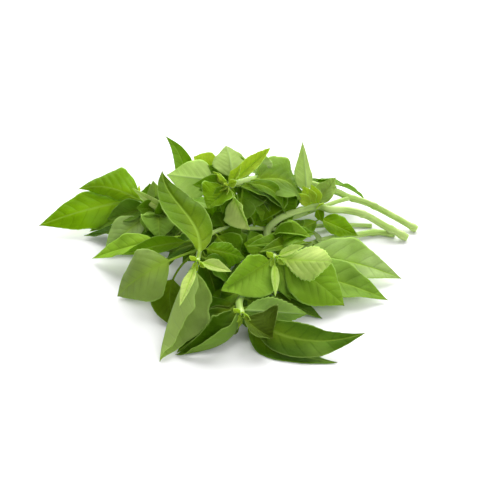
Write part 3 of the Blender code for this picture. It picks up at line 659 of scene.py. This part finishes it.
class Nodes:
    """A material's node tree, with the few kinds of node that these finishes are made of."""

    def __init__(self, name):
        self.material = bpy.data.materials.new(name)
        self.material.use_nodes = True
        self.tree = self.material.node_tree
        self.tree.nodes.clear()
        self.output = self.tree.nodes.new("ShaderNodeOutputMaterial")

    def new(self, kind, **settings):
        node = self.tree.nodes.new("ShaderNode" + kind)
        for key, value in settings.items():
            setattr(node, key, value)
        return node

    def put(self, value, socket):
        if isinstance(value, bpy.types.NodeSocket):
            self.tree.links.new(value, socket)
        else:
            socket.default_value = value

    def math(self, operation, *values):
        node = self.new("Math", operation=operation)
        for value, socket in zip(values, node.inputs):
            self.put(value, socket)
        return node.outputs[0]

    def times(self, first, second):
        return self.math("MULTIPLY", first, second)

    def fade(self, value, low, high):
        """1 below low, falling smoothly to 0 above high."""
        node = self.new("MapRange", interpolation_type="SMOOTHSTEP")
        settings = {"Value": value, "From Min": low, "From Max": high, "To Min": 1.0, "To Max": 0.0}
        for key, given in settings.items():
            self.put(given, node.inputs[key])
        return node.outputs[0]

    def mix(self, factor, first, second):
        node = self.new("Mix", data_type="RGBA")
        self.put(factor, node.inputs[0])
        self.put(first, node.inputs[6])
        self.put(second, node.inputs[7])
        return node.outputs[2]

    def noise(self, vector, scale, detail=2.0, roughness=0.5):
        node = self.new("TexNoise")
        self.put(vector, node.inputs["Vector"])
        self.set(node, {"Scale": scale, "Detail": detail, "Roughness": roughness})
        return node.outputs["Fac"]

    @staticmethod
    def set(node, values):
        for key, value in values.items():
            node.inputs[key].default_value = value

    def bump(self, height, strength, distance):
        node = self.new("Bump")
        self.set(node, {"Strength": strength, "Distance": distance})
        self.put(height, node.inputs["Height"])
        return node.outputs["Normal"]


def rgba(colour, by=1.0):
    return (*(min(1.0, channel * by) for channel in colour), 1.0)


def vein_masks(n, share, lateral, hand, look):
    """The midrib and the side veins, which run where the mesh has them."""
    bent = n.times(n.times(lateral, lateral), VEIN_BEND)
    start = n.math("SUBTRACT", n.math("SUBTRACT", share, n.times(lateral, VEIN_LEAN)), bent)
    phase = n.math("ADD", n.times(start, float(look.vein_pairs)), n.times(hand, VEIN_STAGGER))
    side_vein = n.fade(n.math("PINGPONG", phase, 0.5), 0.0, 0.11)
    side_vein = n.times(side_vein, n.fade(lateral, 0.1, 0.26))
    midrib = n.fade(n.math("DIVIDE", lateral, n.math("SUBTRACT", 1.25, share)), 0.006, 0.02)
    return midrib, side_vein


def leaf_marks(n, look):
    """What the two sides of a leaf share: how far along and across it a point is, its veins, a fine
    network of cells, and patches of three sizes."""
    uv = n.new("UVMap").outputs[0]
    split = n.new("SeparateXYZ")
    n.put(uv, split.inputs[0])
    share = split.outputs[0]
    signed = n.math("SUBTRACT", split.outputs[1], 0.5)
    lateral = n.math("ABSOLUTE", signed)
    midrib, side_vein = vein_masks(n, share, lateral, n.math("GREATER_THAN", signed, 0.0), look)
    cells = n.new("TexVoronoi", feature="DISTANCE_TO_EDGE")
    n.put(uv, cells.inputs["Vector"])
    n.set(cells, {"Scale": CELL_SCALE})
    place = n.new("TexCoord").outputs["Object"]
    patches = n.noise(place, PATCH_SCALE, 3.0)
    return SimpleNamespace(
        share=share, lateral=lateral, midrib=midrib, side_vein=side_vein,
        vein=n.math("MAXIMUM", midrib, n.times(side_vein, 0.35)),
        network=n.fade(cells.outputs["Distance"], 0.0, 0.12),
        patches=patches, patch=n.fade(patches, 0.36, 0.64),
        wide_patches=n.noise(place, WIDE_PATCH_SCALE, 1.0),
        mottle=n.noise(place, MOTTLE_SCALE, 3.0, 0.6),
    )


def upper_side(n, marks, tone, look):
    """Green in two shades, with specks, patches of painted sheen, a lighter heart, cells, a light midrib
    and side veins darkened by painted shade.
    """
    green, vein = tone["upper"], tone["vein"]
    colour = n.mix(marks.patch, rgba(green, 1.25), rgba(green, 0.75))
    colour = n.mix(n.times(n.fade(marks.mottle, 0.35, 0.7), 0.25), colour, rgba(green, 0.6))
    # Pale patches of painted sheen, in wide random patches.
    painted_sheen = n.times(n.fade(marks.wide_patches, 0.62, 0.5), tone["painted_sheen"])
    colour = n.mix(painted_sheen, colour, rgba(look.painted_sheen_colour))
    across = n.math("DIVIDE", marks.lateral, n.math("SUBTRACT", 1.3, marks.share))
    heart = n.times(n.fade(across, 0.0, 0.14), n.fade(marks.share, 0.0, 0.85))
    colour = n.mix(n.times(heart, 0.5), colour, rgba(tone["heart"]))
    colour = n.mix(n.times(marks.network, 0.12), colour, rgba(vein))
    # The side veins darkened: painted shade in the furrows they sink into.
    colour = n.mix(n.times(marks.side_vein, 0.3), colour, rgba(green, 0.45))
    return n.mix(n.times(marks.midrib, 0.75), colour, rgba(vein, 1.15))


def underside(n, marks, tone):
    """Paler, with darker cells and light veins."""
    green = tone["under"]
    colour = n.mix(marks.patch, rgba(green, 1.08), rgba(green, 0.9))
    colour = n.mix(n.times(marks.network, 0.2), colour, rgba(green, 0.8))
    return n.mix(n.times(marks.vein, 0.45), colour, rgba(tone["rib"]))


def leaf_finish(name, tone, look):
    """A leaf's two sides, glossy above and matt below, with a paler edge that is partly its own colour and
    partly a painted highlight, a dry tip, a fine relief and light that comes through."""
    n = Nodes(name)
    marks = leaf_marks(n, look)
    is_upper = n.new("Attribute", attribute_name="upper").outputs["Fac"]
    colour = n.mix(is_upper, underside(n, marks, tone), upper_side(n, marks, tone, look))
    # A pale band along the edge: partly the edge's own paler colour, partly a painted highlight where light
    # catches it.
    pale_edge_and_highlight = n.fade(n.new("Attribute", attribute_name="edge").outputs["Fac"], 1.0, 0.92)
    colour = n.mix(n.times(pale_edge_and_highlight, 0.75), colour, rgba(tone["pale_edge_and_highlight"]))
    colour = n.mix(n.times(n.fade(marks.share, 1.0, 0.955), 0.6), colour, rgba(look.tip_colour))
    through = n.mix(n.times(marks.vein, 0.5), rgba(tone["through"]), rgba(tone["through"], 0.5))

    height = n.math("ADD", n.times(marks.mottle, 0.5), n.times(marks.network, -0.35))
    height = n.math("SUBTRACT", height, n.math("MAXIMUM", marks.midrib, marks.side_vein))
    surface = n.new("BsdfPrincipled")
    n.put(colour, surface.inputs["Base Color"])
    rough = n.math("ADD", n.times(is_upper, look.gloss - UNDER_ROUGHNESS), UNDER_ROUGHNESS)
    n.put(n.math("ADD", rough, n.times(marks.patches, 0.08)), surface.inputs["Roughness"])
    n.set(surface, {"Specular IOR Level": 0.12, "Specular Tint": rgba(tone["gleam"])})
    n.put(n.bump(height, 0.4, 0.0004), surface.inputs["Normal"])
    glow = n.new("BsdfTranslucent")
    n.put(through, glow.inputs["Color"])
    blend = n.new("MixShader")
    n.put(look.glow, blend.inputs[0])
    n.put(surface.outputs[0], blend.inputs[1])
    n.put(glow.outputs[0], blend.inputs[2])
    n.put(blend.outputs[0], n.output.inputs["Surface"])
    return n.material


def stem_finish(name, look):
    """A stem's green skin, streaked along its length and paler in stretches."""
    n = Nodes(name)
    uv = n.new("UVMap").outputs[0]
    stretch = n.new("Mapping")
    n.put(uv, stretch.inputs["Vector"])
    n.set(stretch, {"Scale": (40.0, 9.0, 1.0)})
    streaks = n.noise(stretch.outputs[0], 1.0, 3.0, 0.6)
    place = n.new("TexCoord").outputs["Object"]
    patches = n.noise(place, STEM_PATCH_SCALE, 2.0)
    colour = n.mix(n.fade(streaks, 0.35, 0.65), rgba(look.colour, 1.12), rgba(look.colour, 0.82))
    colour = n.mix(n.times(n.fade(patches, 0.4, 0.62), 0.5), colour, rgba(look.pale))
    surface = n.new("BsdfPrincipled")
    n.put(colour, surface.inputs["Base Color"])
    n.set(surface, {"Roughness": 0.42, "Specular IOR Level": 0.45, "Subsurface Weight": 0.25,
                    "Subsurface Radius": (0.002, 0.003, 0.001), "Subsurface Scale": 1.0})
    n.put(n.bump(streaks, 0.3, 0.0003), surface.inputs["Normal"])
    n.put(surface.outputs[0], n.output.inputs["Surface"])
    return n.material


def tones(look):
    """The colour families of the leaves, by name: how much each scales the plain leaf's red, green and blue
    above, below and in the light that comes through, then its veins and its patches of painted sheen. Most
    families paint light, shade or sheen into the colour."""
    green, under, through = np.array(look.green), np.array(look.under), np.array(look.through)
    vein, rib = np.array(look.vein), np.array(look.rib)

    def family(upper, below, light, lines=1.0, painted_sheen=1.0, gleam=(0.5, 0.8, 0.15)):
        return dict(gleam=gleam, painted_sheen=painted_sheen * look.painted_sheen, upper=tuple(green * upper),
                    under=tuple(under * below), through=tuple(through * light),
                    vein=tuple(vein * lines), rib=tuple(rib * min(1.1, lines)),
                    heart=tuple(vein * lines * (1.1, 1.05, 0.3)), pale_edge_and_highlight=tuple(rib * lines * (1.0, 1.1, 0.6)))

    return {
        "green": family((1, 1, 1), (1, 1, 1), (1, 1, 1)),
        # painted_shade: darker, for leaves in shade and for inner leaves that stand for the shade between
        # them
        "painted_shade": family((0.5, 0.6, 0.6), (0.6, 0.66, 0.6), (0.7, 0.75, 0.7), 0.75, 0.6),
        # painted_deep_shade: darker still, painted shade for leaves in the darkest shade
        "painted_deep_shade": family((0.35, 0.38, 0.4), (0.75, 0.8, 0.6), (0.6, 0.65, 0.4), 0.8, 0.3),
        # grey_painted_sheen: darker and greyer, with stronger patches of painted sheen
        "grey_painted_sheen": family((0.6, 0.6, 2.5), (0.8, 0.8, 0.8), (0.75, 0.75, 1.0), 0.9, 1.3),
        # light: painted light, lighter and bluish, for leaves that catch the light
        "light": family((2.4, 1.95, 7.0), (1.4, 1.3, 1.0), (1.3, 1.2, 1.0), 1.3, 0.5),
        # soft: a mild painted sheen
        "soft": family((1.5, 1.25, 7.0), (1.2, 1.1, 1.2), (1.1, 1.0, 1.5), 1.1),
        "olive": family((0.9, 0.75, 1.0), (0.9, 0.85, 0.9), (0.9, 0.8, 0.8), 0.8),
        # brown_and_painted_shade: the leaves' own brown tint, darkened further with painted shade
        "brown_and_painted_shade": family((0.5, 0.4, 0.8), (0.48, 0.46, 0.35), (0.55, 0.52, 0.5), 0.7, 0.3),
        # painted_lit: lighter and yellower, painted light on leaves that catch the light
        "painted_lit": family((1.45, 1.3, 0.6), (1.15, 1.1, 0.8), (1.15, 1.1, 0.5), 1.2, 0.7),
        "vivid": family((0.85, 0.8, 0.5), (1.0, 1.0, 0.5), (0.75, 0.72, 0.4), 1.1, 0.0),
        # pale: the strongest painted sheen, nearly white on the upper side
        "pale": family((6.0, 3.5, 45.0), (2.1, 1.75, 2.5), (1.4, 1.25, 10.0), 1.6, gleam=(1, 1, 1)),
        # sheen: painted sheen, pale and bluish
        "sheen": family((2.6, 1.75, 18.0), (1.6, 1.38, 1.8), (1.2, 1.05, 4.0), 1.2, gleam=(1, 1, 1)),
        # painted_strong_sheen: a strong painted sheen
        "painted_strong_sheen": family((3.4, 2.1, 36.0), (1.9, 1.55, 2.3), (1.3, 1.15, 8.0), 1.2, gleam=(1, 1, 1)),
        "young": family((3.7, 2.3, 9.0), (1.8, 1.4, 0.6), (1.7, 1.4, 0.6), 1.5),
    }


def tint(name, description, default):
    """A colour that can be changed."""
    return FloatVectorProperty(name=name, description=description, subtype="COLOR", default=default,
                               min=0.0, max=1.0)


class BasilLeafLook(bpy.types.PropertyGroup):
    """The finish of every leaf."""

    thickness: FloatProperty(
        name="Thickness", description="Thickness of the blade", default=0.00034, min=0.0001, unit="LENGTH")
    puff: FloatProperty(
        name="Puff", description="How far a large blade rises between its veins", default=0.0005,
        min=0.0, unit="LENGTH")
    crumple: FloatProperty(
        name="Crumple", description="Height of the broad waves, as a share of the width", default=0.034,
        min=0.0, subtype="FACTOR")
    tooth: FloatProperty(
        name="Tooth", description="Depth of the teeth on the edge of a large leaf", default=0.0003,
        min=0.0, unit="LENGTH")
    teeth: IntProperty(name="Teeth", description="Teeth along each edge", default=13, min=0)
    vein_pairs: IntProperty(name="Vein pairs", description="Pairs of side veins", default=7, min=1)
    rows: IntProperty(
        name="Rows", description="Cells from stalk to tip of a large leaf", default=72, min=8)
    columns: IntProperty(
        name="Columns", description="Cells from edge to edge of a large leaf", default=32, min=4)
    inner: FloatProperty(
        name="Inner cells", description="Share of the cells, each way, of an inner leaf", default=0.75,
        min=0.2, max=1.0, subtype="FACTOR")
    gloss: FloatProperty(
        name="Roughness", description="Roughness of the upper side", default=0.45, min=0.0, max=1.0,
        subtype="FACTOR")
    glow: FloatProperty(
        name="Light through", description="Share of the light that comes through the blade",
        default=0.42, min=0.0, max=1.0, subtype="FACTOR")
    # Painted sheen: pale patches mixed into the upper side's colour, and their colour below.
    painted_sheen: FloatProperty(
        name="Painted sheen", description="How strong the pale bloom is in its patches", default=0.5, min=0.0,
        max=1.0, subtype="FACTOR")
    painted_sheen_colour: tint("Bloom colour", "Colour of the bloom", (0.27, 0.42, 0.07))
    tip_colour: tint("Tip colour", "Colour of the dry point of a leaf", (0.09, 0.07, 0.02))
    green: tint("Green", "Colour of the upper side", (0.125, 0.255, 0.006))
    under: tint("Under", "Colour of the underside", (0.27, 0.43, 0.085))
    through: tint("Through", "Colour of the light that comes through", (0.42, 0.66, 0.015))
    vein: tint("Vein", "Colour of the veins above", (0.30, 0.47, 0.05))
    rib: tint("Rib", "Colour of the veins below", (0.42, 0.58, 0.22))


class BasilStemLook(bpy.types.PropertyGroup):
    """The shape and finish of the stems."""

    node_swell: FloatProperty(
        name="Node swell", description="How much a stem swells where leaves grow", default=0.28,
        min=0.0, subtype="FACTOR")
    ridge: FloatProperty(
        name="Ridge", description="Height of the four soft ridges, as a share of the radius",
        default=0.05, min=0.0, subtype="FACTOR")
    sides: IntProperty(name="Sides", description="Cells round a stem", default=24, min=8)
    step: FloatProperty(
        name="Ring step", description="Distance between the rings of a stem", default=0.0014,
        min=0.0005, unit="LENGTH")
    colour: tint("Colour", "Colour of the skin", (0.36, 0.52, 0.12))
    pale: tint("Pale", "Colour of the paler stretches", (0.52, 0.66, 0.24))


class BasilStageLook(bpy.types.PropertyGroup):
    """The floor, the light and the camera."""

    floor: FloatProperty(
        name="Floor", description="Width of the floor", default=12.0, min=1.0, unit="LENGTH")
    floor_colour: tint("Floor colour", "Colour of the floor", (0.86, 0.86, 0.86))
    daylight: FloatProperty(
        name="Daylight", description="Brightness of the surroundings behind the bunch", default=1.0,
        min=0.0)
    front: FloatProperty(
        name="Front", description="Brightness of the surroundings behind the camera", default=0.15, min=0.0)
    key: FloatProperty(
        name="Key light", description="Power of the large light", default=30.0, min=0.0, unit="POWER")
    height_angle: FloatProperty(
        name="Height angle", description="How steeply the camera looks down", default=math.radians(35),
        unit="ROTATION")
    distance: FloatProperty(
        name="Distance", description="From the camera to what it looks at", default=0.790, min=0.1,
        unit="LENGTH")
    lens: FloatProperty(name="Lens", description="Focal length in millimetres", default=85.0, min=10.0)
    target: FloatVectorProperty(
        name="Target", description="The point that the camera looks at", subtype="TRANSLATION",
        default=(0.0143, 0.0063, 0.0106))


class BASIL_OT_stems(bpy.types.Operator):
    """Models the four stems with their branches"""

    bl_idname = "basil.stems"
    bl_label = "Stems"

    def execute(self, context):
        look = context.scene.basil_stem
        finish = stem_finish("stem_skin", look)
        for node, stem, branch in (("stem_back", "back", "left"), ("stem_middle", "middle", "twig"),
                                   ("stem_front", "front", None), ("stem_slender", "slender", None)):
            piece = make_tube("green_" + node, stem, look.sides, look.step / MM, look)
            if branch:
                arm = make_tube("branch_" + branch, branch, look.sides, look.step / MM, look)
                union = piece.modifiers.new("branch", "BOOLEAN")
                union.operation = "UNION"
                union.solver = "EXACT"
                union.object = arm
                apply_modifiers(piece)
                bpy.data.objects.remove(arm)
            piece.data.materials.clear()
            piece.data.materials.append(finish)
            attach(piece, "root")
            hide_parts(node)
        return {"FINISHED"}


class BASIL_OT_leaves(bpy.types.Operator):
    """Models the leaves of one shoot"""

    bl_idname = "basil.leaves"
    bl_label = "Leaves"

    shoot: EnumProperty(name="Shoot", description="The shoot whose leaves are made",
                        items=[(shoot, shoot.capitalize(), "Leaves of this shoot") for shoot in SHOOTS])

    def execute(self, context):
        look = context.scene.basil_leaf
        families = tones(look)
        tone_of = {name: tone for tone, names in TONES.items() for name in names}
        young = [spec for tip in TIPS for spec in tip_leaves(*tip)]
        for index, spec in enumerate([*LEAVES, *INNER_LEAVES, *young]):
            if not spec["name"].startswith(self.shoot + "_"):
                continue
            node = "leaf_" + spec["name"]
            has_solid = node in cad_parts
            # A narrow leaf needs fewer cells.
            scale = min(1.0, 0.45 + spec["width"] / 50) * (1 if has_solid else look.inner)
            columns, rows = 2 * round(look.columns * scale / 2), round(look.rows * scale)
            tone = tone_of.get(spec["name"], "young" if self.shoot == "tip" else "green")
            skin = "leaf_" + tone
            finish = bpy.data.materials.get(skin) or leaf_finish(skin, families[tone], look)
            piece = make_blade(spec, columns, rows, look, index)
            piece.data.materials.clear()
            piece.data.materials.append(finish)
            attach(piece, "root")
            if has_solid:
                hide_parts(node)
        return {"FINISHED"}


def add_floor(look):
    deselect()
    bpy.ops.mesh.primitive_plane_add(size=look.floor, location=(0, 0, FLOOR_Z))
    floor = bpy.context.object
    floor.name = "floor"
    n = Nodes("floor")
    surface = n.new("BsdfPrincipled")
    n.set(surface, {"Base Color": (*look.floor_colour, 1.0), "Roughness": 0.9, "Specular IOR Level": 0.1})
    n.put(surface.outputs[0], n.output.inputs["Surface"])
    floor.data.materials.append(n.material)


def add_surroundings(look):
    """Plain white light from all round, which is weaker from behind the camera."""
    world = bpy.data.worlds.new("studio")
    world.use_nodes = True
    tree = world.node_tree
    split = tree.nodes.new("ShaderNodeSeparateXYZ")
    tree.links.new(tree.nodes.new("ShaderNodeTexCoord").outputs["Generated"], split.inputs[0])
    slope = tree.nodes.new("ShaderNodeMapRange")
    tree.links.new(split.outputs[1], slope.inputs["Value"])
    Nodes.set(slope, {"From Min": -1.0, "From Max": 1.0, "To Min": look.front, "To Max": look.daylight})
    tree.links.new(slope.outputs[0], tree.nodes["Background"].inputs["Strength"])
    tree.nodes["Background"].inputs["Color"].default_value = (1, 1, 1, 1)
    bpy.context.scene.world = world


def add_lamps(look):
    """A large light over the far side, and a weaker one in front that leaves no glints."""
    for name, place, size, share in (("key", (0.2, 0.85, 0.95), 1.6, 1.0),
                                     ("fill", (0.5, -0.9, 0.8), 1.0, 0.25)):
        lamp = bpy.data.lights.new(name, "AREA")
        lamp.shape = "DISK"
        lamp.size = size
        lamp.energy = look.key * share
        light = bpy.data.objects.new(name, lamp)
        light.location = place
        light.rotation_euler = (-Vector(place)).to_track_quat("-Z", "Y").to_euler()
        light.visible_glossy = name == "key"
        bpy.context.scene.collection.objects.link(light)


def add_camera(look):
    scene = bpy.context.scene
    camera = bpy.data.objects.new("camera", bpy.data.cameras.new("camera"))
    camera.data.lens = look.lens
    camera.data.clip_start = 0.01
    back = Vector((0, -math.cos(look.height_angle), math.sin(look.height_angle)))
    camera.location = Vector(look.target) + back * look.distance
    camera.rotation_euler = (-back).to_track_quat("-Z", "Y").to_euler()
    scene.collection.objects.link(camera)
    scene.camera = camera
    scene.view_settings.view_transform = "Standard"


class BASIL_OT_stage(bpy.types.Operator):
    """Makes the floor, the light and the camera"""

    bl_idname = "basil.stage"
    bl_label = "Stage"

    def execute(self, context):
        look = context.scene.basil_stage
        add_floor(look)
        add_surroundings(look)
        add_lamps(look)
        add_camera(look)
        return {"FINISHED"}


class BASIL_PT_panel(bpy.types.Panel):
    """Lists what makes the bunch"""

    bl_label = "Basil bunch"
    bl_space_type = "VIEW_3D"
    bl_region_type = "UI"
    bl_category = "Basil"

    def draw(self, context):
        layout = self.layout
        for group in (context.scene.basil_leaf, context.scene.basil_stem, context.scene.basil_stage):
            box = layout.box()
            for key in group.bl_rna.properties.keys():
                if key not in ("rna_type", "name"):
                    box.prop(group, key)
        layout.operator("basil.stems")
        for shoot in SHOOTS:
            layout.operator("basil.leaves", text=shoot.capitalize() + " leaves").shoot = shoot
        layout.operator("basil.stage")


CLASSES = (BasilLeafLook, BasilStemLook, BasilStageLook, BASIL_OT_stems, BASIL_OT_leaves, BASIL_OT_stage,
           BASIL_PT_panel)


def register():
    for item in CLASSES:
        bpy.utils.register_class(item)
    bpy.types.Scene.basil_leaf = PointerProperty(type=BasilLeafLook)
    bpy.types.Scene.basil_stem = PointerProperty(type=BasilStemLook)
    bpy.types.Scene.basil_stage = PointerProperty(type=BasilStageLook)


def unregister():
    del bpy.types.Scene.basil_leaf
    del bpy.types.Scene.basil_stem
    del bpy.types.Scene.basil_stage
    for item in reversed(CLASSES):
        bpy.utils.unregister_class(item)


def main():
    register()
    bpy.ops.basil.stage()
    bpy.ops.basil.stems()
    for shoot in SHOOTS:
        bpy.ops.basil.leaves(shoot=shoot)


if __name__ == "__main__":
    main()
